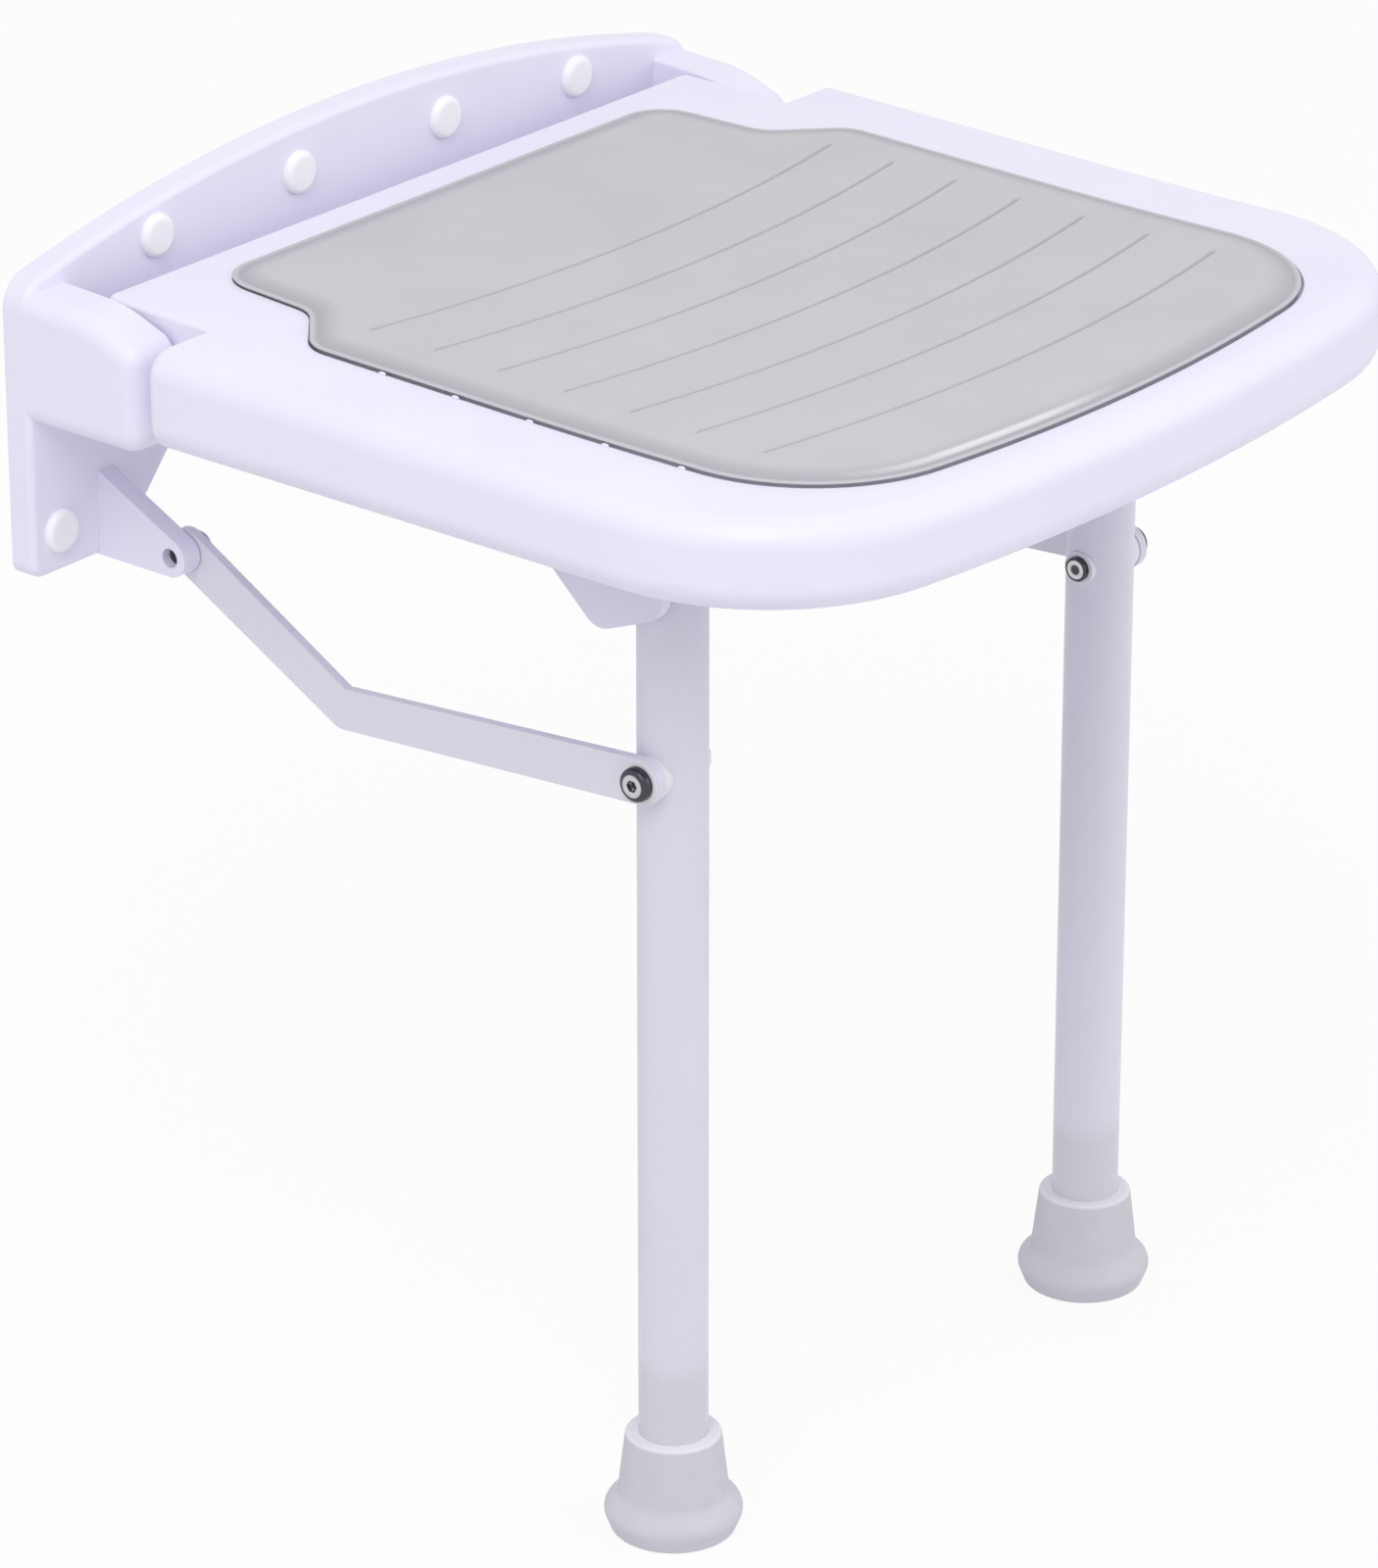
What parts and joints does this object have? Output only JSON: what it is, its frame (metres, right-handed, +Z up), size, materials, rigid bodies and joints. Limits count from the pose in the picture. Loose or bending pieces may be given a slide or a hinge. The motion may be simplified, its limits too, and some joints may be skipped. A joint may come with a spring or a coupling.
{
  "type": "wall-mounted folding shower seat",
  "caption": "Fold-up shower seat on an arched wall plate, with a soft grooved pad and legs kept upright by side links while it folds.",
  "frame": {"origin": "on the wall face of the plate, on the centre line, at the height of the seat's hinge axis", "axes": "+X to the right seen from the front, +Y into the wall, +Z up; the seat projects to -Y, folded down at rest"},
  "size_m": [0.428, 0.418, 0.509],
  "materials": {
    "white_moulding": "satin white moulded plastic",
    "grey_pad": "soft grey moulded foam, fine grained skin",
    "coated_aluminium": "white satin coat on tube and bar",
    "grey_rubber": "light grey moulded rubber",
    "stainless_steel": "turned stainless steel",
    "nylon": "natural white nylon",
    "brass_insert": "plain turned brass"
  },
  "bodies": {
    "wall": {"wall_plate": "white_moulding", "screw_caps": "white_moulding", "hinge_insert_left": "brass_insert", "hinge_bolt_left": "stainless_steel", "link_wall_bolt_left": "stainless_steel", "hinge_insert_right": "brass_insert", "hinge_bolt_right": "stainless_steel", "link_wall_bolt_right": "stainless_steel"},
    "seat": {"seat_shell": "white_moulding", "seat_pad": "grey_pad", "hinge_bush_left": "nylon", "leg_bracket_left": "white_moulding", "bracket_screws_left": "stainless_steel", "leg_pivot_bolt_left": "stainless_steel", "hinge_bush_right": "nylon", "leg_bracket_right": "white_moulding", "bracket_screws_right": "stainless_steel", "leg_pivot_bolt_right": "stainless_steel"},
    "leg_left": {"leg_tube_left": "coated_aluminium", "leg_top_plug_left": "nylon", "leg_pivot_bush_left": "nylon", "foot_left": "grey_rubber", "foot_disc_left": "stainless_steel", "link_leg_bolt_left": "stainless_steel", "link_spacer_left": "nylon", "link_leg_washer_left": "nylon", "link_leg_nut_left": "stainless_steel"},
    "link_left": {"link_arm_left": "coated_aluminium", "link_bush_front_left": "nylon", "link_bush_rear_left": "nylon"},
    "leg_right": {"leg_tube_right": "coated_aluminium", "leg_top_plug_right": "nylon", "leg_pivot_bush_right": "nylon", "foot_right": "grey_rubber", "foot_disc_right": "stainless_steel", "link_leg_bolt_right": "stainless_steel", "link_spacer_right": "nylon", "link_leg_washer_right": "nylon", "link_leg_nut_right": "stainless_steel"},
    "link_right": {"link_arm_right": "coated_aluminium", "link_bush_front_right": "nylon", "link_bush_rear_right": "nylon"}
  },
  "joints": [
    {"name": "seat_fold", "type": "hinge", "parent": "wall", "child": "seat", "pos_m": [0, -0.05, 0], "axis": [-1, 0, 0], "range_deg": [0, 90]},
    {"name": "leg_left_fold", "type": "hinge", "parent": "seat", "child": "leg_left", "pos_m": [-0.138, -0.285, -0.035], "axis": [1, 0, 0], "range_deg": [0, 90]},
    {"name": "link_left_fold", "type": "hinge", "parent": "wall", "child": "link_left", "pos_m": [-0.1555, -0.05, -0.078], "axis": [-1, 0, 0], "range_deg": [0, 90]},
    {"name": "leg_right_fold", "type": "hinge", "parent": "seat", "child": "leg_right", "pos_m": [0.138, -0.285, -0.035], "axis": [1, 0, 0], "range_deg": [0, 90]},
    {"name": "link_right_fold", "type": "hinge", "parent": "wall", "child": "link_right", "pos_m": [0.1555, -0.05, -0.078], "axis": [-1, 0, 0], "range_deg": [0, 90]}
  ],
  "couplings": [
    {"joint": "leg_left_fold", "follows": "seat_fold", "ratio": 1},
    {"joint": "link_left_fold", "follows": "seat_fold", "ratio": 1},
    {"joint": "leg_right_fold", "follows": "seat_fold", "ratio": 1},
    {"joint": "link_right_fold", "follows": "seat_fold", "ratio": 1}
  ]
}
